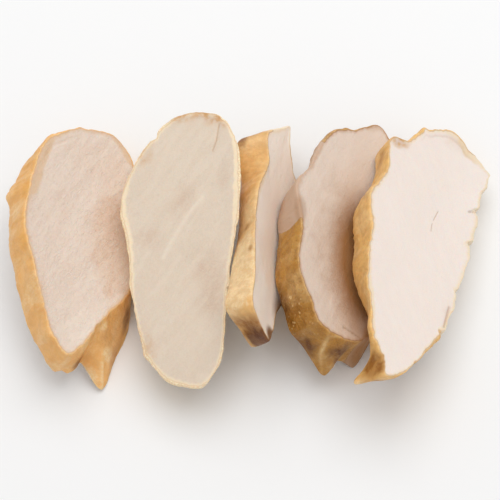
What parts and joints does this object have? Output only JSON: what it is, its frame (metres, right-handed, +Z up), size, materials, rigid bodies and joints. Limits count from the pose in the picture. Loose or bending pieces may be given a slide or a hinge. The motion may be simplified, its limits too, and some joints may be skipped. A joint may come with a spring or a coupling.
{
  "type": "sliced smoked chicken breast",
  "caption": "Smoked chicken breast with golden skin, cut across into thick slices that have toppled one against the next in a row.",
  "frame": {"origin": "on the surface the slices lie on, under the middle of the whole row", "axes": "+X along the row, from the first slice to the fifth; +Y along the slices, from their near ends to their far ends; +Z up"},
  "size_m": [0.166, 0.105, 0.04],
  "materials": {
    "rosy_meat": "moist pinkish cut meat with golden smoked skin round its edge",
    "beige_meat": "smooth beige cut meat with a thin cream edge",
    "golden_skin": "golden smoked skin, brown at its ends, round pale cut meat",
    "cream_meat": "cream cut meat with brown, glossy, wrinkled skin round its edge",
    "pale_meat": "very pale cut meat with a torn tan edge and a golden skin side"
  },
  "bodies": {
    "root": {"slice_1": "rosy_meat", "slice_2": "beige_meat", "slice_3": "golden_skin", "slice_4": "cream_meat", "slice_5": "pale_meat"}
  },
  "joints": []
}
